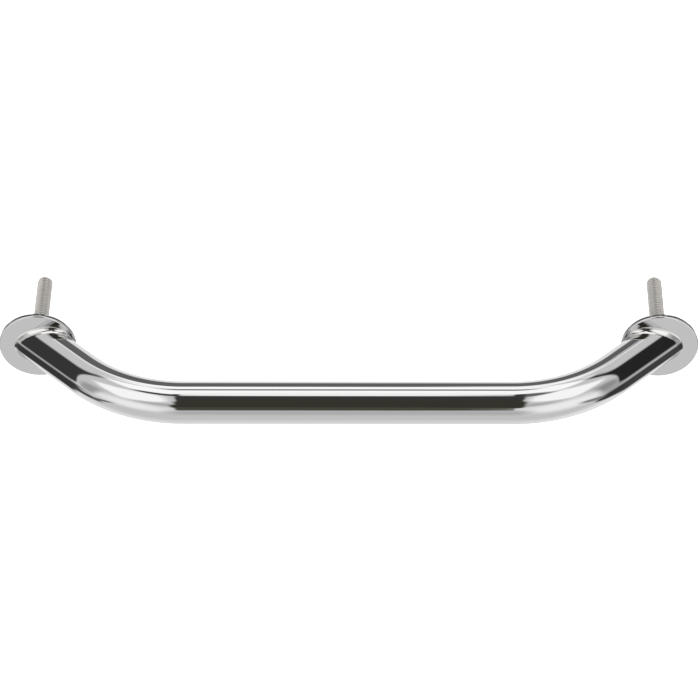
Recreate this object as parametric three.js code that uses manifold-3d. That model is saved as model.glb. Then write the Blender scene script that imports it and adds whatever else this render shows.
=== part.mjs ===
// Boat grab rail: a bent round tube whose ends are cut parallel to the wall and welded to two
// round flanges. A threaded stud passes through each flange and is welded to it inside the tube.
//
// Frame: the origin is midway between the two studs, on the wall plane y = 0 that the flanges
// rest against. +X runs along the rail, +Y into the wall, +Z up. Lengths are in millimetres.

import * as THREE from "three";
import { mergeVertices } from "three/addons/utils/BufferGeometryUtils.js";
import Module from "manifold-3d";

// Driving dimensions: the rail
const studSpacing = 325; // between the stud axes
const railStandoff = 47; // from the wall plane to the rail's axis
const tubeDiameter = 22.2;
const tubeWall = 1.5;
const bendRadius = 73; // of the tube's axis
const legAngle = 45.5; // degrees, between a leg's axis and the wall plane
const legOffset = 1.25; // from the stud axis, inwards, to where the leg's axis would meet the wall

// Driving dimensions: the flanges, studs and welds
const flangeRim = 1; // from the tube's footprint to the flange's edge, where it is narrowest
const flangeThickness = 2.5;
const flangeEdgeRadius = 0.5; // round on the front edge
const studDiameter = 7.94; // 5/16 inch
const threadPitch = 25.4 / 18; // 18 turns to the inch
const threadDepth = 0.8;
const studLength = 51.5; // from the wall plane to the tip
const studTipChamfer = 1;
const studTailLength = 1.5; // the stud's plain end, past the flange's front face
// The ball that touches the tube and the flange at the weld's two edges.
const railWeldOuterRadius = 1.2; // on the side of the rail's end
const railWeldInnerRadius = 5; // under the rail
const railWeldClimb = 3; // how much further its outer side goes up the tube
const railWeldHollow = 0.73; // 0 for a flat face, 1 for one drawn right into the corner
const railWeldMargin = 0.1; // left free at the flange's edge
const studWeldWidth = 2;
const studWeldHeight = 1.4;

const seatGap = 0.3; // between two round or slanted surfaces that meet

// Facets
const tubeSides = 32;
const bendSteps = 10;
const flangeSides = 48;
const edgeSteps = 3;
const studSides = 16;
const weldSides = 48;
const weldFaceSteps = 6;

// Worked out from the dimensions above
const tubeRadius = tubeDiameter / 2;
const studRadius = studDiameter / 2;
const legSlope = THREE.MathUtils.degToRad(legAngle);
const legDirection = new THREE.Vector3(Math.cos(legSlope), -Math.sin(legSlope), 0); // of the -X leg
const footprintMiddle = legOffset + flangeThickness / Math.tan(legSlope); // inwards from the stud axis
const flangeRadius = footprintMiddle + tubeRadius / Math.sin(legSlope) + flangeRim;

const polishedSteel = new THREE.MeshStandardMaterial({ color: 0xd9dadb, roughness: 0.08, metalness: 1 });
const weldSteel = new THREE.MeshStandardMaterial({ color: 0xcfd0d1, roughness: 0.18, metalness: 1 });
const threadSteel = new THREE.MeshStandardMaterial({ color: 0xb4b0aa, roughness: 0.42, metalness: 1 });

const wasm = await Module();
wasm.setup();

function toSolid(geometry) {
  const bare = geometry.clone();
  bare.deleteAttribute("normal");
  bare.deleteAttribute("uv");
  const merged = mergeVertices(bare, 1e-4);
  return new wasm.Manifold(
    new wasm.Mesh({
      numProp: 3,
      vertProperties: new Float32Array(merged.attributes.position.array),
      triVerts: new Uint32Array(merged.index.array),
    }),
  );
}

function toGeometry(solid) {
  const mesh = solid.getMesh();
  const geometry = new THREE.BufferGeometry();
  geometry.setAttribute("position", new THREE.BufferAttribute(mesh.vertProperties, 3));
  geometry.setIndex(new THREE.BufferAttribute(mesh.triVerts, 1));
  geometry.computeVertexNormals();
  return geometry;
}

// The tube's axis, from behind one flange to behind the other: leg, bend, straight, bend, leg.
// It is stepped once along each straight stretch and bendSteps times round each bend.
class RailAxis extends THREE.Curve {
  static steps = 3 + 2 * bendSteps;

  constructor() {
    super();
    const bendDrop = bendRadius * (1 - Math.cos(legSlope));
    const legLength = (railStandoff - bendDrop) / Math.sin(legSlope);
    this.wallPoint = new THREE.Vector3(-studSpacing / 2 + legOffset, 0, 0);
    this.legStart = this.wallPoint.clone().addScaledVector(legDirection, -tubeDiameter);
    this.bendStart = this.wallPoint.clone().addScaledVector(legDirection, legLength);
    this.bendCentre = new THREE.Vector3(
      this.bendStart.x + bendRadius * Math.sin(legSlope),
      bendRadius - railStandoff,
      0,
    );
  }

  // The point and direction at a step of the first half, which the second half mirrors.
  halfStation(step) {
    if (step <= 1) return [this.legStart.clone().lerp(this.bendStart, step), legDirection.clone()];
    const slope = legSlope * (1 - Math.min((step - 1) / bendSteps, 1));
    const point = this.bendCentre
      .clone()
      .add(new THREE.Vector3(-Math.sin(slope), -Math.cos(slope), 0).multiplyScalar(bendRadius));
    const past = Math.max(step - 1 - bendSteps, 0);
    point.x *= 1 - 2 * past; // reaches the middle half a step past the bend
    return [point, new THREE.Vector3(Math.cos(slope), -Math.sin(slope), 0)];
  }

  station(t) {
    const step = t * RailAxis.steps;
    if (step <= RailAxis.steps / 2) return this.halfStation(step);
    const [point, direction] = this.halfStation(RailAxis.steps - step);
    point.x *= -1;
    direction.y *= -1;
    return [point, direction];
  }

  getPoint(t, target = new THREE.Vector3()) {
    return target.copy(this.station(t)[0]);
  }

  getTangent(t, target = new THREE.Vector3()) {
    return target.copy(this.station(t)[1]);
  }

  getPointAt(u, target) {
    return this.getPoint(u, target);
  }

  getTangentAt(u, target) {
    return this.getTangent(u, target);
  }
}

// A hollow bent tube whose two ends are cut flat at the flanges' front faces.
function railTube() {
  const section = new THREE.Shape().absarc(0, 0, tubeRadius, 0, 2 * Math.PI);
  section.holes.push(new THREE.Path().absarc(0, 0, tubeRadius - tubeWall, 0, 2 * Math.PI, true));
  const bent = new THREE.ExtrudeGeometry(section, {
    steps: RailAxis.steps,
    curveSegments: tubeSides / 2,
    bevelEnabled: false,
    extrudePath: new RailAxis(),
  });
  const cutDepth = 2 * (studSpacing + railStandoff);
  const cutter = new THREE.BoxGeometry(cutDepth, cutDepth, cutDepth);
  cutter.translate(0, cutDepth / 2 - flangeThickness, 0);
  return toGeometry(toSolid(bent).subtract(toSolid(cutter)));
}

// Turns a closed profile of [radius, y] points round the stud's axis.
function turned(profile, sides) {
  const points = profile.map(([radius, y]) => new THREE.Vector2(radius, y));
  return new THREE.LatheGeometry([...points, points[0]], sides);
}

// A round flange with the stud's hole, flat on both faces, its front edge rounded.
function flange() {
  const holeRadius = studRadius + seatGap;
  const profile = [[holeRadius, -flangeThickness]];
  for (let i = 0; i <= edgeSteps; i++) {
    const turn = (i / edgeSteps) * (Math.PI / 2);
    profile.push([
      flangeRadius - flangeEdgeRadius * (1 - Math.sin(turn)),
      flangeEdgeRadius * (1 - Math.cos(turn)) - flangeThickness,
    ]);
  }
  profile.push([flangeRadius, 0], [holeRadius, 0]);
  return turned(profile, flangeSides);
}

// A rod with a right-hand thread on it all the way: a strip of alternate root and crest lines
// that winds up the rod, closed at each end by a fan from the rod's axis.
function threadedRod(length) {
  const turns = Math.ceil(length / threadPitch);
  const rows = 2 * turns;
  const positions = [];
  for (let row = 0; row <= rows; row++) {
    const radius = studRadius - (row % 2 ? 0 : threadDepth);
    for (let side = 0; side < studSides; side++) {
      const turn = side / studSides;
      const angle = -2 * Math.PI * turn;
      const height = threadPitch * (row / 2 + turn);
      positions.push(radius * Math.cos(angle), height, radius * Math.sin(angle));
    }
  }
  // Round the seam, a row carries on as the row one whole turn above it.
  const corner = (row, side) => (side < studSides ? row * studSides + side : (row + 2) * studSides);
  const index = [];
  for (let row = 0; row < rows; row++)
    for (let side = 0; side < studSides; side++) {
      if (row + 3 > rows && side === studSides - 1) continue; // past the last whole turn
      const [a, b] = [corner(row, side), corner(row, side + 1)];
      const [c, d] = [corner(row + 1, side), corner(row + 1, side + 1)];
      index.push(a, b, c, b, d, c);
    }
  const foot = positions.length / 3;
  const top = foot + 1;
  positions.push(0, 0, 0, 0, threadPitch * (rows / 2), 0);
  const footLoop = [];
  for (let side = 0; side < studSides; side++) footLoop.push(corner(0, side));
  footLoop.push(corner(2, 0), corner(1, 0));
  const topLoop = [];
  for (let side = 0; side < studSides; side++) topLoop.push(corner(rows, side));
  topLoop.push(corner(rows - 1, studSides - 1), corner(rows - 2, studSides - 1));
  footLoop.forEach((from, i) => index.push(foot, footLoop[(i + 1) % footLoop.length], from));
  topLoop.forEach((from, i) => index.push(top, from, topLoop[(i + 1) % topLoop.length]));
  const geometry = new THREE.BufferGeometry();
  geometry.setAttribute("position", new THREE.Float32BufferAttribute(positions, 3));
  geometry.setIndex(index);
  return geometry;
}

// A stud threaded from the wall plane to its chamfered tip, with a plain tail through the flange.
function stud() {
  const tailEnd = -flangeThickness - studTailLength;
  const outline = turned(
    [
      [0, 0],
      [studRadius, 0],
      [studRadius, studLength - studTipChamfer],
      [studRadius - studTipChamfer, studLength],
      [0, studLength],
    ],
    studSides,
  );
  const tail = turned(
    [
      [0, tailEnd],
      [studRadius, tailEnd],
      [studRadius, 0],
      [0, 0],
    ],
    studSides,
  );
  const rod = threadedRod(studLength + 4 * threadPitch); // long enough to trim both ends
  rod.translate(0, -2 * threadPitch, 0);
  return toGeometry(toSolid(rod).intersect(toSolid(outline)).add(toSolid(tail)));
}

// The bead that holds the stud's tail to the flange's front face, with a hollowed face.
function studWeld() {
  const inner = studRadius + seatGap;
  const profile = [[inner, -flangeThickness - studWeldHeight]];
  for (let i = 1; i <= weldFaceSteps; i++) {
    const turn = (i / weldFaceSteps) * (Math.PI / 2);
    profile.push([
      inner + studWeldWidth * (1 - Math.cos(turn)),
      -flangeThickness - studWeldHeight * (1 - Math.sin(turn)),
    ]);
  }
  profile.push([inner, -flangeThickness]);
  return turned(profile, flangeSides / 2);
}

// The fillet between the tube's outside and the flange's front face, in the -X flange's own
// frame with the stud's axis at its origin. It runs between the two points where a ball rolled
// round the corner touches them. The ball shrinks where the flange's edge leaves it no room.
function railWeld() {
  const wall = tubeRadius + seatGap;
  const toFlange = new THREE.Vector3(0, 1, 0);

  const rings = [];
  for (let side = 0; side < weldSides; side++) {
    const turn = (side / weldSides) * 2 * Math.PI;
    const [cos, sin] = [Math.cos(turn), Math.sin(turn)];
    const toTube = new THREE.Vector3(cos * Math.sin(legSlope), cos * Math.cos(legSlope), -sin);

    // The middle of a ball that touches the tube's outside and the flange's face.
    const ball = (radius) => {
      const along = (radius - (wall + radius) * Math.cos(legSlope) * cos) / Math.sin(legSlope);
      return new THREE.Vector3(footprintMiddle, -flangeThickness, 0)
        .addScaledVector(legDirection, along)
        .addScaledVector(toTube, -(wall + radius));
    };

    // The ball whose touch on the flange is just inside the edge, from a quadratic in its radius.
    const [start, growth] = [ball(0), ball(1).sub(ball(0))];
    const a = growth.x ** 2 + growth.z ** 2;
    const b = growth.x * start.x + growth.z * start.z;
    const c = start.x ** 2 + start.z ** 2 - (flangeRadius - flangeEdgeRadius - railWeldMargin) ** 2;
    const largest = Math.max((Math.sqrt(Math.max(b * b - a * c, 0)) - b) / a, 0.1);
    const wanted = THREE.MathUtils.lerp(railWeldOuterRadius, railWeldInnerRadius, (1 - cos) / 2);
    const radius = (largest ** -4 + wanted ** -4) ** -0.25;

    // The two points of touch, and the face between them, which leaves each along its surface.
    const corner = toTube.angleTo(toFlange);
    const pull = (radius * Math.tan(corner / 2) * railWeldHollow) / Math.sin(corner);
    const climb = railWeldClimb * ((1 + cos) / 2) ** 0.7;
    const top = ball(radius).addScaledVector(toTube, radius).addScaledVector(legDirection, climb);
    const toe = ball(radius).addScaledVector(toFlange, radius);
    const face = new THREE.CubicBezierCurve3(
      top,
      top.clone().addScaledVector(toFlange.clone().addScaledVector(toTube, -Math.cos(corner)), pull),
      toe.clone().addScaledVector(toTube.clone().addScaledVector(toFlange, -Math.cos(corner)), pull),
      toe,
    );
    const root = ball(0);
    rings.push([root, ...face.getPoints(weldFaceSteps)]);
  }

  const ringPoints = rings[0].length;
  const index = [];
  for (let i = 0; i < weldSides; i++)
    for (let j = 0; j < ringPoints; j++) {
      const [nextI, nextJ] = [(i + 1) % weldSides, (j + 1) % ringPoints];
      const [a, b] = [i * ringPoints + j, nextI * ringPoints + j];
      const [c, d] = [i * ringPoints + nextJ, nextI * ringPoints + nextJ];
      index.push(a, b, c, b, d, c);
    }
  const geometry = new THREE.BufferGeometry().setFromPoints(rings.flat());
  geometry.setIndex(index);
  return geometry;
}

function piece(name, geometry, material) {
  const mesh = new THREE.Mesh(geometry, material);
  mesh.name = name;
  return mesh;
}

// One end of the rail, with the stud's axis at the group's origin.
function railEnd(side) {
  const end = new THREE.Group();
  const weld = piece(`${side}_rail_weld`, railWeld(), weldSteel);
  if (side === "right") weld.rotation.y = Math.PI;
  end.add(
    piece(`${side}_flange`, flange(), polishedSteel),
    piece(`${side}_stud`, stud(), threadSteel),
    piece(`${side}_stud_weld`, studWeld(), weldSteel),
    weld,
  );
  end.position.x = (side === "left" ? -1 : 1) * (studSpacing / 2);
  return end;
}

const grabRail = new THREE.Group();
grabRail.add(piece("rail_tube", railTube(), polishedSteel), railEnd("left"), railEnd("right"));

export default grabRail;
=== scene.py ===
import math

import bpy
import numpy as np
from mathutils import Matrix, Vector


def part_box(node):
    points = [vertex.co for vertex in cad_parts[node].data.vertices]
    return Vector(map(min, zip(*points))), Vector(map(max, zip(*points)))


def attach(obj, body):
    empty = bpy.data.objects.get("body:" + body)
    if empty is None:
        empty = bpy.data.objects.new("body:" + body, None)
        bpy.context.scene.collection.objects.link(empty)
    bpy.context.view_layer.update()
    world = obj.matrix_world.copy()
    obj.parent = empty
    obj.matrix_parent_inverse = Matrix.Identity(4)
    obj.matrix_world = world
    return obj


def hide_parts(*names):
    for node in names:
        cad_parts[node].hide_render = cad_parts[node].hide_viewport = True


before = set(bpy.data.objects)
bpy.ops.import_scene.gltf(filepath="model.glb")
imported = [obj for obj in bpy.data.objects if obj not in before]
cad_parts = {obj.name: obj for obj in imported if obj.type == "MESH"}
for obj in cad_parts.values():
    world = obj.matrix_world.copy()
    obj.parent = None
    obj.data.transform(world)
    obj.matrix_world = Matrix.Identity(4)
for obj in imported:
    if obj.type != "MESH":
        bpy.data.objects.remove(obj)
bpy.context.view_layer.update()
print("frame loaded, nodes:", ", ".join(sorted(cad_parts)))

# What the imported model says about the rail, in metres
tubeLow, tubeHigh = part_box("rail_tube")
flangeLow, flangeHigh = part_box("left_flange")
studLow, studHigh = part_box("left_stud")
beadLow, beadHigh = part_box("left_stud_weld")

tubeRadius = (tubeHigh.z - tubeLow.z) / 2
standoff = -tubeLow.y - tubeRadius           # wall plane to the rail's axis
studX = (studLow.x + studHigh.x) / 2         # the left stud's axis
studRadius = (studHigh.z - studLow.z) / 2
flangeRadius = (flangeHigh.z - flangeLow.z) / 2
flangeFront = flangeLow.y                    # the flange's front face; its back is the wall plane


def signedVolume(points, faces):
    # The tetrahedra from the origin to each face's two triangles, summed. Each is a sixth of the
    # triple product of its corners, and the sum is negative where the faces look inwards.
    a, b, c, d = (points[faces[:, i]] for i in range(4))
    first = np.einsum("ij,ij->i", a, np.cross(b, c))
    second = np.einsum("ij,ij->i", a, np.cross(c, d))
    return (first + second).sum() / 6


def skin(name, grid, alongUv=None, aroundUv=None, wrapAlong=False, caps=False, sharpAngle=40):
    # A grid of points, along by around, closed round each ring. wrapAlong joins the last ring to
    # the first, and caps closes both ends with a fan from the middle. The UV map is in metres
    # where alongUv and aroundUv are given, and a cap's is its x and z.
    along, around, _ = grid.shape
    alongUv = np.arange(along + 1) / along if alongUv is None else alongUv
    aroundUv = np.arange(around + 1) / around if aroundUv is None else aroundUv
    points = grid.reshape(-1, 3)
    rings = np.arange(along if wrapAlong else along - 1)
    ring, step = np.meshgrid(rings, np.arange(around), indexing="ij")
    corners = [(0, 0), (0, 1), (1, 1), (1, 0)]
    faces = [(ring + i) % along * around + (step + j) % around for i, j in corners]
    faces = np.stack(faces, -1).reshape(-1, 4)
    uvs = [np.stack([alongUv[ring + i], aroundUv[step + j]], -1) for i, j in corners]
    uvs = np.stack(uvs, -2).reshape(-1, 4, 2)
    flip = signedVolume(points, faces) < 0
    if flip:
        faces, uvs = faces[:, ::-1], uvs[:, ::-1]
    faceList = faces.tolist()
    uvList = uvs.reshape(-1, 2)
    if caps:
        ends = np.array([grid[0].mean(0), grid[-1].mean(0)])
        points = np.concatenate([points, ends])
        spokes = np.arange(around)
        nextSpokes = (spokes + 1) % around
        last = (along - 1) * around
        first = np.stack([np.full(around, len(points) - 2), nextSpokes, spokes], -1)
        final = np.stack([np.full(around, len(points) - 1), last + spokes, last + nextSpokes], -1)
        if flip:
            first, final = first[:, ::-1], final[:, ::-1]
        faceList += first.tolist() + final.tolist()
        fans = np.concatenate([first, final]).reshape(-1)
        uvList = np.concatenate([uvList, points[fans][:, [0, 2]]])
    mesh = bpy.data.meshes.new(name)
    mesh.from_pydata(points.tolist(), [], faceList)
    mesh.uv_layers.new(name="surface").uv.foreach_set("vector", uvList.astype(np.float32).ravel())
    mesh.shade_smooth()
    mesh.set_sharp_from_angle(angle=math.radians(sharpAngle))
    mesh.validate()
    obj = bpy.data.objects.new(name, mesh)
    bpy.context.scene.collection.objects.link(obj)
    return obj


def place(obj, node, material):
    obj.data.materials.append(material)
    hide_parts(node)
    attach(obj, "root")
    return obj


def turned(profile, around, centre):
    # A profile of (radius, y) carried round the line through centre along Y.
    angle = np.linspace(0, 2 * np.pi, around, endpoint=False)
    radius, height = np.asarray(profile, float).T
    x = centre + radius[:, None] * np.cos(angle)
    z = radius[:, None] * np.sin(angle)
    return np.stack([x, np.broadcast_to(height[:, None], x.shape), z], -1)


def arc(centre, radius, start, stop, steps):
    # Points (radius, y) along a quarter or other arc of a profile, both ends included.
    angle = np.radians(np.linspace(start, stop, steps + 1))
    return np.stack([centre[0] + radius * np.cos(angle), centre[1] + radius * np.sin(angle)], -1)


def running(points):
    # Distance along a line of points, starting at 0.
    return np.concatenate([[0], np.cumsum(np.linalg.norm(np.diff(points, axis=0), axis=1))])


class Wire:
    # One socket of a node tree. Sums on it add Math nodes; add() makes any other node.
    def __init__(self, tree, socket=None):
        self.tree = tree
        self.socket = socket

    def add(self, kind, settings, inputs, output=0):
        node = self.tree.nodes.new(kind)
        for name, value in settings.items():
            setattr(node, name, value)
        for name, value in inputs.items():
            if isinstance(value, Wire):
                self.tree.links.new(value.socket, node.inputs[name])
            else:
                node.inputs[name].default_value = value
        return Wire(self.tree, node.outputs[output])

    def math(self, operation, first, second=None):
        inputs = {0: first} if second is None else {0: first, 1: second}
        return self.add("ShaderNodeMath", {"operation": operation}, inputs)

    def __add__(self, other):
        return self.math("ADD", self, other)

    def __radd__(self, other):
        return self.math("ADD", other, self)

    def __sub__(self, other):
        return self.math("SUBTRACT", self, other)

    def __rsub__(self, other):
        return self.math("SUBTRACT", other, self)

    def __mul__(self, other):
        return self.math("MULTIPLY", self, other)

    def __rmul__(self, other):
        return self.math("MULTIPLY", other, self)

    def __truediv__(self, other):
        return self.math("DIVIDE", self, other)

    def __pow__(self, power):
        return self.math("POWER", self, power)

    def __abs__(self):
        return self.math("ABSOLUTE", self)

    def smooth(self, low, high, start=0.0, stop=1.0):
        # start below low, stop above high, and a smooth step between.
        return self.add("ShaderNodeMapRange", {"interpolation_type": "SMOOTHSTEP"},
                        {0: self, 1: low, 2: high, 3: start, 4: stop})


def newMaterial(name):
    material = bpy.data.materials.new(name)
    material.use_nodes = True
    return material, material.node_tree.nodes["Principled BSDF"], Wire(material.node_tree)


def connect(shader, inputs):
    for name, value in inputs.items():
        if isinstance(value, Wire):
            value.tree.links.new(value.socket, shader.inputs[name])
        else:
            shader.inputs[name].default_value = value


def objectPoint(start):
    # The point on the piece, in metres.
    return start.add("ShaderNodeTexCoord", {}, {}, "Object")


def noise(point, scale, detail, roughness=0.5):
    # Cloudy noise round 0.5, with about scale clouds to a metre.
    return point.add("ShaderNodeTexNoise", {}, {"Vector": point, "Scale": scale, "Detail": detail,
                                                "Roughness": roughness})


def raised(height, distance, under=None):
    # A bump this high, in metres, on top of another bump or on the plain surface.
    inputs = {"Strength": 1, "Distance": distance, "Height": height}
    if under is not None:
        inputs["Normal"] = under
    return height.add("ShaderNodeBump", {}, inputs)


def colourMix(share, first, second):
    # The first colour where share is 0, the second where it is 1.
    return share.add("ShaderNodeMix", {"data_type": "RGBA"}, {0: share, 6: first, 7: second}, 2)


steel = {
    "colour": (0.574, 0.568, 0.57, 1),
    "roughness": 0.035,
    "haze": (38, 3, 0.6),        # faint cloudy patches: scale, detail and roughness of the noise
    "hazeRange": (0.45, 0.75),
    "hazeRoughness": 0.03,       # added in them
    "lineScale": (90, 3800, 1),  # of the polishing lines, along and around
    "lineDepth": 0.0000012,
    "waveScale": 55,             # slow unevenness of the wall
    "waveDepth": 0.00001,
}


def polishedSteel():
    material, shader, start = newMaterial("polishedSteel")
    point = objectPoint(start)
    surface = start.add("ShaderNodeUVMap", {"uv_map": "surface"}, {})
    haze = noise(point, *steel["haze"])
    stretched = start.add("ShaderNodeMapping", {}, {"Vector": surface, "Scale": steel["lineScale"]})
    lines = noise(stretched, 1, 2)
    waves = noise(point, steel["waveScale"], 1)
    connect(shader, {
        "Base Color": steel["colour"],
        "Metallic": 1,
        "Roughness": haze.smooth(*steel["hazeRange"]) * steel["hazeRoughness"] + steel["roughness"],
        "Normal": raised(lines, steel["lineDepth"], raised(waves, steel["waveDepth"])),
    })
    return material


weldFinish = {
    "colour": (0.57, 0.565, 0.56, 1),
    "roughness": 0.06,
    "grainScale": 1500,
    "grainRoughness": 0.06,      # added by the grain
    "rippleScale": 240,          # what grinding left of the weld's ripples
    "rippleDepth": 0.00006,
}


def polishedWeld():
    material, shader, start = newMaterial("polishedWeld")
    point = objectPoint(start)
    ripples = noise(point, weldFinish["rippleScale"], 1)
    grain = noise(point, weldFinish["grainScale"], 2)
    connect(shader, {
        "Base Color": weldFinish["colour"],
        "Metallic": 1,
        "Roughness": grain * weldFinish["grainRoughness"] + weldFinish["roughness"],
        "Normal": raised(ripples, weldFinish["rippleDepth"]),
    })
    return material


studFinish = {
    "crest": (0.68, 0.66, 0.63, 1),
    # The root's colour is much darker than the crest's: painted shade in the thread's recesses.
    "root": (0.30, 0.285, 0.27, 1),
    "crestLightRange": (0.1, 0.95),    # of the thread's height, from the root's painted shade to the crest's full colour
    "patchScale": 260,           # of the patches where the crest's colour and smoothness go further or less far
    "patchSpread": 0.5,
    "roughness": 0.27,
    "grainScale": 2200,
    "grainRoughness": 0.2,       # added by the grain
    "crestRoughnessDrop": 0.08,       # taken off towards the crest
    "grainDepth": 0.00001,
}


def threadSteel():
    material, shader, start = newMaterial("threadSteel")
    point = objectPoint(start)
    depth = start.add("ShaderNodeAttribute", {"attribute_name": "threadHeight"}, {}, "Fac")
    grain = noise(point, studFinish["grainScale"], 3)
    patches = noise(point, studFinish["patchScale"], 2)
    spread = studFinish["patchSpread"]
    # crestLight is 0 in the thread's root, whose dark colour is painted shade, and 1 at the crest,
    # more or less in patches; it also makes the crest smoother.
    crestLight = depth.smooth(*studFinish["crestLightRange"]) * (1 - spread / 2 + spread * patches)
    roughness = grain * studFinish["grainRoughness"] + studFinish["roughness"]
    connect(shader, {
        "Base Color": colourMix(crestLight, studFinish["root"], studFinish["crest"]),
        "Metallic": 1,
        "Roughness": roughness - crestLight * studFinish["crestRoughnessDrop"],
        "Normal": raised(grain, studFinish["grainDepth"]),
    })
    return material


beadFinish = {
    "colour": (0.44, 0.42, 0.40, 1),
    "tint": (0.42, 0.34, 0.24, 1),
    "heatScale": 300,            # of the heat's stains
    "heatRange": (0.4, 0.7),
    "heatRoughness": 0.2,
    "roughness": 0.45,
}


def rawWeld():
    material, shader, start = newMaterial("rawWeld")
    heat = noise(objectPoint(start), beadFinish["heatScale"], 2)
    stain = heat.smooth(*beadFinish["heatRange"])
    connect(shader, {
        "Base Color": colourMix(stain, beadFinish["colour"], beadFinish["tint"]),
        "Metallic": 1,
        "Roughness": heat * beadFinish["heatRoughness"] + beadFinish["roughness"],
    })
    return material


polished, weldPolished = polishedSteel(), polishedWeld()
threaded, rawBead = threadSteel(), rawWeld()
print("materials made")


rail = {
    "bendRadius": 0.073,         # of the tube's axis
    "legAngle": math.radians(45.5),   # between a leg and the wall plane
    "legOffset": 0.00125,        # outwards, from the stud's axis to the leg's on the wall plane
    "wall": 0.0015,
    "legSteps": 24,
    "bendSteps": 90,
    "straightSteps": 30,
    "around": 144,
}

legSin, legCos = math.sin(rail["legAngle"]), math.cos(rail["legAngle"])
# The middle of the tube's ellipse on the flange, then the leg from the wall plane to the bend
footMiddle = studX + rail["legOffset"] - flangeFront * legCos / legSin
legLength = (standoff - rail["bendRadius"] * (1 - legCos)) / legSin
bendStart = np.array([studX + rail["legOffset"] + legLength * legCos, -legLength * legSin])
bendCentre = bendStart + rail["bendRadius"] * np.array([legSin, legCos])


def footprint(radius, angle):
    # The ellipse where a tube of this radius meets the flange's front face.
    return np.stack([footMiddle - radius / legSin * np.cos(angle),
                     np.full_like(angle, flangeFront), radius * np.sin(angle)], -1)


def ringAt(centre, slope, radius, angle):
    # A circle square to the axis, whose direction in the XY plane is (cos slope, -sin slope).
    out = np.stack([-np.sin(slope), -np.cos(slope), np.zeros_like(slope)], -1)
    up = np.array([0.0, 0.0, 1.0])
    rim = out[:, None] * np.cos(angle)[None, :, None] + up * np.sin(angle)[None, :, None]
    return np.concatenate([centre, np.zeros((len(centre), 1))], 1)[:, None] + radius * rim


def tubeWall(radius):
    # Rings from the left flange to the right one: the leg's rings grow from the ellipse on the
    # flange to a circle at the bend, the bend's turn about its centre, and the rest is mirrored.
    angle = np.linspace(0, 2 * np.pi, rail["around"], endpoint=False)
    foot = footprint(radius, angle)
    firstRing = ringAt(bendStart[None], np.array([rail["legAngle"]]), radius, angle)[0]
    share = np.linspace(0, 1, rail["legSteps"], endpoint=False)[:, None, None]
    leg = foot + (firstRing - foot) * share
    slope = np.linspace(rail["legAngle"], 0, rail["bendSteps"] + 1)
    axis = bendCentre - rail["bendRadius"] * np.stack([np.sin(slope), np.cos(slope)], -1)
    bend = ringAt(axis, slope, radius, angle)
    x = np.linspace(bendCentre[0], 0, rail["straightSteps"] + 1)[1:]
    middle = np.stack([x, np.full_like(x, -standoff)], -1)
    straight = ringAt(middle, np.zeros_like(x), radius, angle)
    half = np.concatenate([leg, bend, straight])
    mirrored = half[-2::-1] * np.array([-1, 1, 1])
    return np.concatenate([half, mirrored])


def railTube():
    outer, inner = tubeWall(tubeRadius), tubeWall(tubeRadius - rail["wall"])
    grid = np.concatenate([outer, inner[::-1]])
    length = running(grid[:, 0])
    alongUv = np.append(length, length[-1] + rail["wall"])
    aroundUv = np.linspace(0, 2 * np.pi * tubeRadius, rail["around"] + 1)
    return skin("railTube", grid, alongUv, aroundUv, wrapAlong=True)


place(railTube(), "rail_tube", polished)
print("rail tube made")


flange = {
    "edgeRadius": 0.0007,        # front edge
    "edgeSteps": 10,
    "backEase": 0.00015,         # the back edge is only just broken
    "easeSteps": 3,
    "holeGap": 0.0001,           # round the stud
    "middleShare": 0.6,          # where a ring divides the flat faces
    "frontInsets": (0.0012, 0.0002),   # rings that keep the front face flat up to its edge
    "backInset": 0.0004,
    "around": 192,
}


def flangeAt(name, centre):
    # From the stud's hole out along the front face, round the edge and back along the back face.
    edge, ease = flange["edgeRadius"], flange["backEase"]
    hole = studRadius + flange["holeGap"]
    faceEnd, backEnd = flangeRadius - edge, flangeRadius - ease
    middle = faceEnd * flange["middleShare"]
    frontRadii = [hole, middle] + [faceEnd - inset for inset in flange["frontInsets"]]
    front = [[radius, flangeFront] for radius in frontRadii]
    rim = arc((faceEnd, flangeFront + edge), edge, -90, 0, flange["edgeSteps"])
    back = arc((backEnd, -ease), ease, 0, 90, flange["easeSteps"])
    rest = [[radius, 0] for radius in (backEnd - flange["backInset"], middle, hole)]
    profile = np.concatenate([front, rim, back, rest])
    grid = turned(profile, flange["around"], centre)
    reach = running(profile)
    aroundUv = np.linspace(0, 2 * np.pi * flangeRadius, flange["around"] + 1)
    alongUv = np.append(reach, reach[-1] - flangeFront)
    return skin(name, grid, alongUv, aroundUv, wrapAlong=True, sharpAngle=50)


for side, centre in (("left", studX), ("right", -studX)):
    place(flangeAt(side + "Flange", centre), side + "_flange", polished)
print("flanges made")


railWeld = {
    "radius": (0.0012, 0.005),   # of the rolled ball, on the outer and the inner side of the leg
    "smallest": 0.0001,
    "limitPower": 4,             # how sharply the rim takes over from the wanted radius
    "climb": 0.003,              # how much further its outer side goes up the tube
    "climbPower": 0.7,
    "lip": 0.00008,              # how far its edge stands up from the flange
    "rimMargin": 0.0001,         # left free at the flange's rim
    "ease": 0.7,                 # 0 to 1: how straight the weld leaves the tube and the flange
    "sink": 0.00004,             # how far its edges lie under the two surfaces it joins
    "faceSteps": 24,
    "around": 240,
}


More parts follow.
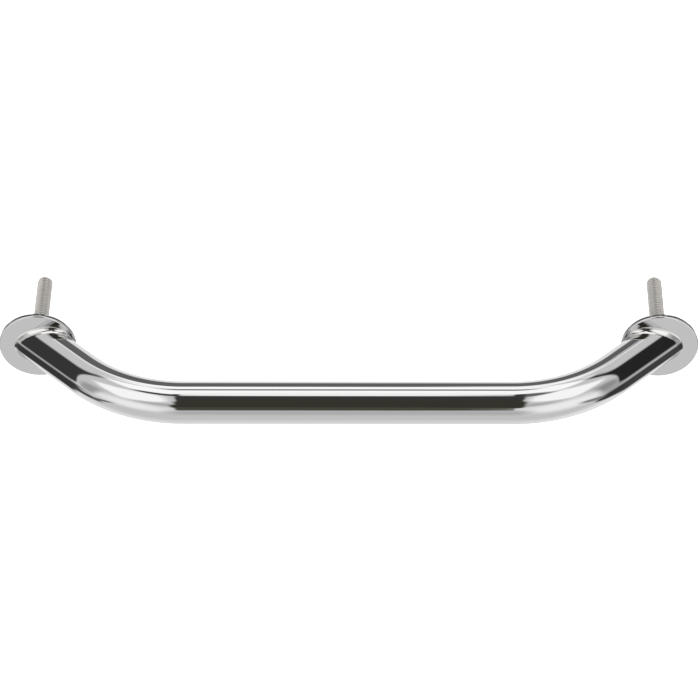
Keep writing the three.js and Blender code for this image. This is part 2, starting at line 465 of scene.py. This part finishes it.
def railWeldAt(name, mirror):
    # A ball that touches the tube and the flange is rolled round the tube. The weld runs between
    # the ball's two points of touch, and its face, a curve of the fifth degree, leaves each of
    # them along the surface there. Where the flange's rim is too near, the ball shrinks until it
    # touches the flange just inside it.
    angle = np.linspace(0, 2 * np.pi, railWeld["around"], endpoint=False)
    cos, sin = np.cos(angle), np.sin(angle)
    downLeg = np.array([legCos, -legSin, 0])                     # along the leg, from the flange
    toFlange = np.array([0.0, 1.0, 0.0])                         # from the ball's centre
    toTube = np.stack([cos * legSin, cos * legCos, -sin], -1)

    def ballCentre(radius):
        along = (radius - (tubeRadius + radius) * legCos * cos) / legSin
        axis = np.array([footMiddle, flangeFront, 0]) + along[:, None] * downLeg
        return axis - (tubeRadius + radius)[:, None] * toTube

    # The ball's radius at which it touches the flange at its rim, from a quadratic.
    start, stop = ballCentre(np.zeros_like(angle)), ballCentre(np.ones_like(angle))
    growth, offset = (stop - start)[:, [0, 2]], start[:, [0, 2]] - np.array([studX, 0])
    reach = flangeRadius - flange["edgeRadius"] - railWeld["rimMargin"]
    a, b, c = (growth ** 2).sum(1), (growth * offset).sum(1), (offset ** 2).sum(1) - reach ** 2
    largest = (np.sqrt(np.maximum(b * b - a * c, 0)) - b) / a
    largest = np.maximum(largest, railWeld["smallest"])
    outer, inner = railWeld["radius"]
    wanted = outer + (inner - outer) * (1 - cos) / 2
    power = railWeld["limitPower"]
    radius = (largest ** -power + wanted ** -power) ** (-1 / power)

    lip, sink = railWeld["lip"], railWeld["sink"]
    centre = ballCentre(radius)
    whole = np.arccos(toTube @ toFlange)[:, None]                # between the two surfaces
    climb = railWeld["climb"] * ((1 + cos) / 2) ** railWeld["climbPower"]
    atFlange = centre + (radius[:, None] - lip) * toFlange
    atTube = centre + radius[:, None] * toTube + climb[:, None] * downLeg
    fromFlange = (toTube - np.cos(whole) * toFlange) / np.sin(whole)
    fromTube = (toFlange - np.cos(whole) * toTube) / np.sin(whole)
    pull = radius[:, None] * np.tan(whole / 2) * railWeld["ease"] / 2
    share = np.linspace(0, 1, railWeld["faceSteps"] + 1)[:, None, None]
    weight = [math.comb(5, i) * share ** i * (1 - share) ** (5 - i) for i in range(6)]
    face = (atFlange * (weight[0] + weight[1] + weight[2])
            + fromFlange * pull * (weight[1] + 2 * weight[2])
            + atTube * (weight[3] + weight[4] + weight[5])
            + fromTube * pull * (weight[4] + 2 * weight[3]))
    root = footprint(tubeRadius, angle)
    under = np.stack([face[0] + toFlange * (lip + sink), root + (toFlange + toTube) * sink,
                      face[-1] + toTube * sink])
    grid = np.concatenate([face, under[::-1]])
    if mirror:
        grid = grid * np.array([-1, 1, 1])
    return skin(name, grid, wrapAlong=True, sharpAngle=50)


for side, mirror in (("left", False), ("right", True)):
    place(railWeldAt(side + "RailWeld", mirror), side + "_rail_weld", weldPolished)
print("rail welds made")


stud = {
    "pitch": 0.0254 / 18,
    "threadDepth": 0.00075,
    "crestFlat": 1 / 5,          # shares of the pitch
    "rootFlat": 1 / 5,
    "tipChamfer": 0.0011,
    "tipRound": 0.0004,
    "tailBevel": 0.1,            # of the plain tail's end, as a share of the radius
    "runOut": (0.0002, 0.00005),       # where the plain tail steps down to the thread's root
    "rowsPerPitch": 12,
    "around": 72,
}


def studAt(name, centre):
    # The radius follows a right-hand thread: its height across a pitch is flat at the crest, flat
    # at the root and sloped between. A chamfered outline cuts it off at the tip.
    pitch, depth, bevel = stud["pitch"], stud["threadDepth"], stud["tailBevel"]
    rows = int((studHigh.y + pitch) / pitch * stud["rowsPerPitch"])
    y = np.linspace(0, studHigh.y, rows)[:, None]
    angle = np.linspace(0, 2 * np.pi, stud["around"], endpoint=False)[None]
    phase = (y / pitch + angle / (2 * np.pi)) % 1
    fromCrest = np.abs(phase - 0.5) * 2                     # 0 at the crest, 1 at the root
    flank = (1 - stud["rootFlat"] - fromCrest) / (1 - stud["rootFlat"] - stud["crestFlat"])
    height = np.clip(flank, 0, 1)
    height = height * height * (3 - 2 * height)             # rounds the flank's two corners
    radius = studRadius - depth * (1 - height)
    fromTip = studHigh.y - y
    outline = studRadius - stud["tipChamfer"] + np.minimum(fromTip, stud["tipChamfer"])
    radius = np.minimum(radius, outline - stud["tipRound"] * np.exp(-fromTip / stud["tipRound"]))
    threadedPart = np.stack([centre + radius * np.cos(angle), np.broadcast_to(y, radius.shape),
                             radius * np.sin(angle)], -1)
    tail = turned([[studRadius * (1 - bevel), studLow.y],
                   [studRadius, studLow.y + studRadius * bevel],
                   [studRadius, -stud["runOut"][0]], [studRadius - depth, -stud["runOut"][1]]],
                  stud["around"], centre)
    grid = np.concatenate([tail, threadedPart])
    obj = skin(name, grid, caps=True, sharpAngle=60)
    crest = np.concatenate([np.ones(tail.shape[:2]), np.broadcast_to(height, radius.shape)])
    values = np.append(crest.ravel(), [1, 1]).astype(np.float32)
    obj.data.attributes.new("threadHeight", "FLOAT", "POINT").data.foreach_set("value", values)
    return obj


for side, centre in (("left", studX), ("right", -studX)):
    place(studAt(side + "Stud", centre), side + "_stud", threaded)
print("studs made")


studBead = {
    "ripples": 22,
    "rippleDepth": 0.00008,
    "faceSteps": 12,
    "around": 176,
}


def studBeadAt(name, centre):
    # A hollow quarter ring round the stud's tail, whose face rises and falls with each ripple.
    width = (beadHigh.z - beadLow.z) / 2 - studRadius
    height = beadHigh.y - beadLow.y
    turn = np.linspace(0, np.pi / 2, studBead["faceSteps"] + 1)
    face = np.stack([studRadius + width * (1 - np.cos(turn)),
                     flangeFront - height * (1 - np.sin(turn))], -1)
    profile = np.concatenate([[[studRadius, flangeFront]], face])
    grid = turned(profile, studBead["around"], centre)
    angle = np.linspace(0, 2 * np.pi, studBead["around"], endpoint=False)
    rise = studBead["rippleDepth"] * (1 + np.cos(angle * studBead["ripples"])) / 2
    grid[2:-1, :, 1] += rise[None, :] * np.sin(turn * 2)[1:-1, None]
    return skin(name, grid, wrapAlong=True, sharpAngle=50)


for side, centre in (("left", studX), ("right", -studX)):
    place(studBeadAt(side + "StudBead", centre), side + "_stud_weld", rawBead)
print("stud beads made")


studio = {
    "floorDrop": 0.09,           # below the flanges
    "floorSize": 12,
    "floorColour": (0.85, 0.85, 0.85, 1),
    "floorRoughness": 0.9,
    "floorGlow": 0.75,
    "backdrop": 1.0,             # what the camera sees past the floor
    "sky": 0.92,
    "ground": 1.06,
    "horizon": (86, 100),        # degrees from straight up, where the sky turns into the ground
    "cardTint": (1.0, 0.98, 0.72, 1),   # of the dark cards in front
    "tintFront": (20, 45),       # degrees to the front, over which the tint comes in
    "tintSides": (12, 25),       # degrees to either side, over which it goes
    "tintLight": (0.15, 0.3),    # brightness, over which it goes
}

# Lights and dark cards, as seen from the rail and laid out flat round the point overhead. A flat
# card's middle and half widths are degrees to the right and to the front. An arc card's are the
# compass angle and the angle from overhead. Then come its turn (degrees, or for an arc how far
# its middle moves from overhead per degree of compass), the power that squares its corners, the
# share over which its edge fades, and its brightness. A later card lies over an earlier one.
cards = {
    "leftFloor": ("flat", (-160, -50), (42, 85), 0, 3, 0.4, 1.18),
    "rightFloor": ("flat", (160, -40), (42, 95), 0, 3, 0.4, 1.25),
    "backFloor": ("flat", (0, -105), (60, 32), 0, 3, 0.4, 1.14),
    "frontFloor": ("arc", (0, 130), (75, 26), 0, 3, 0.4, 0.92),
    "backDark": ("flat", (0, -62), (13, 18.5), 0, 4, 0.12, 0.19),
    "backDarkTip": ("flat", (-0.8, -42), (1.6, 5), 0, 3, 0.5, 0.2),
    "rightBackGlow": ("flat", (3.6, -46.5), (2.2, 4), 0, 3, 0.5, 1.3),
    "leftBackFlag": ("flat", (-37, -60), (30, 7), 27.5, 4, 0.3, 0.08),
    "rightBackFlag": ("flat", (37, -60), (30, 7), -27.5, 4, 0.3, 0.08),
    "leftBackLow": ("flat", (-66, -84), (8, 16), 0, 4, 0.3, 0.08),
    "rightBackLow": ("flat", (66, -84), (8, 16), 0, 4, 0.3, 0.08),
    "leftGlow": ("arc", (-36, 91), (26, 17), 0, 2, 0.7, 1.42),
    "rightGlow": ("arc", (36, 93), (30, 22), 0, 2, 0.7, 1.45),
    "horizonDip": ("flat", (0, 104), (24, 14), 0, 2, 0.7, 0.72),
    "ring": ("arc", (0, 65), (34, 7), 0, 3, 0.5, 0.7),
    "leftShade": ("flat", (-79, 34), (18, 10), -14, 3, 0.5, 0.55),
    "rightShade": ("flat", (74, 30), (19, 11), 22, 3, 0.5, 0.45),
    "rightShadeLow": ("flat", (97, 28), (17, 20), 0, 3, 0.5, 0.6),
    "overhead": ("flat", (-1.5, -20), (21, 25), 0, 4, 0.1, 1.65),
    "leftSeam": ("flat", (-15, -23), (9, 1.6), -32, 2, 0.8, 0.8),
    "rightSeam": ("flat", (11, -28), (9, 1.6), 50, 2, 0.8, 0.8),
    "leftBox": ("flat", (-31, 30), (19, 20.5), 0, 4, 0.2, 1.6),
    "rightBox": ("flat", (29, 25.5), (17.5, 22), 0, 4, 0.2, 1.6),
    "leftWing": ("flat", (-11, 8), (10, 5), 30, 3, 0.3, 0.1),
    "rightWing": ("flat", (8, 9), (9, 7), -50, 3, 0.4, 0.2),
    "leftRise": ("flat", (-4.8, 10), (2, 7), 0, 3, 0.3, 0.06),
    "rightRise": ("flat", (4.4, 9), (2.2, 7), 0, 3, 0.3, 0.06),
    "overheadTip": ("flat", (-1, 4), (3, 10), 0, 3, 0.4, 1.5),
    "overheadGap": ("flat", (-0.5, -23.6), (6.5, 4), 0, 3, 0.5, 0.12),
    "frontTop": ("flat", (0.5, 32), (7.5, 19), 0, 4, 0.15, 0.06),
    "frontMid": ("flat", (1, 55), (10.5, 16), 0, 3, 0.2, 0.06),
    "frontLow": ("flat", (-1, 69), (13, 9), 0, 4, 0.2, 0.06),
    "frontTail": ("flat", (-3.7, 82.8), (7.8, 8.8), 0, 5, 0.3, 0.1),
    "leftSide": ("flat", (-62, -3), (40, 11), -28, 5, 0.1, 0.06),
    "rightSide": ("flat", (58, -4), (42, 11), 30, 5, 0.1, 0.03),
    "leftGray": ("flat", (-25, -28), (19.5, 8.5), -45, 3, 0.25, 0.94),
    "rightGray": ("flat", (24.5, -28.5), (19, 8.5), 45, 3, 0.25, 0.92),
    "leftStreak": ("flat", (-104, 22), (4, 22), 6, 3, 0.35, 0.6),
    "leftLowWide": ("arc", (-94, 123), (18, 11.5), -0.55, 4, 0.25, 0.06),
    "leftLowMid": ("arc", (-76, 126), (12, 7), 0, 3, 0.3, 0.1),
    "leftLowTail": ("arc", (-62, 120), (11, 3.5), -0.8, 3, 0.5, 0.2),
    "rightLowWide": ("arc", (94, 125), (26, 14.5), 0.2, 4, 0.25, 0.08),
    "rightLowMid": ("arc", (75, 124.5), (12, 11), 0.3, 3, 0.3, 0.06),
    "rightLowTail": ("arc", (57, 112), (10, 6), 0.7, 3, 0.5, 0.35),
}


def cardMask(x, y, kind, at, half, turn, corner, soft):
    # 1 inside the card and 0 outside: the distance from its middle is (u^n + v^n)^(1/n), where u
    # and v are shares of its half widths and n is its corner power.
    right, front = x - at[0], y - at[1]
    if kind == "arc":
        front = front - right * turn
    elif turn:
        cos, sin = math.cos(math.radians(turn)), math.sin(math.radians(turn))
        right, front = right * cos + front * sin, front * cos - right * sin
    u, v = abs(right / half[0]), abs(front / half[1])
    distance = (u ** corner + v ** corner) ** (1 / corner)
    return distance.smooth(1 - soft, 1 + soft, 1.0, 0.0)


def studioWorld():
    world = bpy.data.worlds.new("studio")
    bpy.context.scene.world = world
    world.use_nodes = True
    world.node_tree.nodes.clear()
    start = Wire(world.node_tree)
    direction = start.add("ShaderNodeTexCoord", {}, {}, "Generated")
    separate = start.add("ShaderNodeSeparateXYZ", {}, {0: direction})
    parts = [Wire(start.tree, socket) for socket in separate.socket.node.outputs]
    fromTop = start.math("ARCCOSINE", parts[2]) * (180 / math.pi)
    level = (parts[0] * parts[0] + parts[1] * parts[1]) ** 0.5
    x = fromTop * parts[0] / level
    y = fromTop * parts[1] / level * -1
    compass = start.math("ARCTAN2", x, y) * (180 / math.pi)
    light = fromTop.smooth(*studio["horizon"], studio["sky"], studio["ground"])
    for kind, *shape, value in cards.values():
        across, ahead = (compass, fromTop) if kind == "arc" else (x, y)
        light = light + (value - light) * cardMask(across, ahead, kind, *shape)
    seen = start.add("ShaderNodeLightPath", {}, {}, "Is Camera Ray")
    strength = light + (studio["backdrop"] - light) * seen
    tinted = (y.smooth(*studio["tintFront"]) * abs(x).smooth(*studio["tintSides"], 1.0, 0.0)
              * light.smooth(*studio["tintLight"], 1.0, 0.0) * (1 - seen))
    colour = colourMix(tinted, (1, 1, 1, 1), studio["cardTint"])
    background = start.add("ShaderNodeBackground", {}, {"Color": colour, "Strength": strength})
    out = start.tree.nodes.new("ShaderNodeOutputWorld")
    start.tree.links.new(background.socket, out.inputs["Surface"])


def floor():
    size, height = studio["floorSize"], flangeLow.z - studio["floorDrop"]
    corners = [(x * size, y * size, height) for x, y in ((-1, -1), (1, -1), (1, 1), (-1, 1))]
    mesh = bpy.data.meshes.new("floor")
    mesh.from_pydata(corners, [], [(0, 1, 2, 3)])
    obj = bpy.data.objects.new("floor", mesh)
    bpy.context.scene.collection.objects.link(obj)
    material, shader, _ = newMaterial("floorPaint")
    connect(shader, {
        "Base Color": studio["floorColour"],
        "Roughness": studio["floorRoughness"],
        "Specular IOR Level": 0.0,
        "Emission Color": (1, 1, 1, 1),
        "Emission Strength": studio["floorGlow"],
    })
    mesh.materials.append(material)
    obj.visible_glossy = False


studioWorld()
floor()
print("studio lit")


camera = {
    "lens": 184.5,               # millimetres, as is the sensor
    "sensor": 36,
    "clip": (0.05, 50),
    "distance": 1.862,
    "elevation": math.radians(40.39),
    "azimuth": math.radians(-0.78),
    "roll": math.radians(-0.45),
    "aim": (0, -0.020, 0),
    "aimUp": 0.00958,            # moves the aim up and right in the view, in metres
    "aimRight": 0.00097,
}


def setCamera():
    elevation, azimuth, roll = camera["elevation"], camera["azimuth"], camera["roll"]
    ahead = math.cos(elevation)
    forward = np.array([math.sin(azimuth) * ahead, math.cos(azimuth) * ahead, -math.sin(elevation)])
    level = np.array([math.cos(azimuth), -math.sin(azimuth), 0.0])
    upright = np.cross(level, forward)
    right = math.cos(roll) * level + math.sin(roll) * upright
    up = math.cos(roll) * upright - math.sin(roll) * level
    aim = np.array(camera["aim"]) + up * camera["aimUp"] + right * camera["aimRight"]
    position = aim - forward * camera["distance"]
    data = bpy.data.cameras.new("camera")
    data.sensor_width = camera["sensor"]
    data.lens = camera["lens"]
    data.clip_start, data.clip_end = camera["clip"]
    obj = bpy.data.objects.new("camera", data)
    bpy.context.scene.collection.objects.link(obj)
    matrix = np.eye(4)
    matrix[:3] = np.stack([right, up, -forward, position], -1)
    obj.matrix_world = Matrix(matrix.tolist())
    bpy.context.scene.camera = obj


setCamera()
scene = bpy.context.scene
scene.view_settings.view_transform = "Standard"
scene.view_settings.look = "None"
print("camera set")
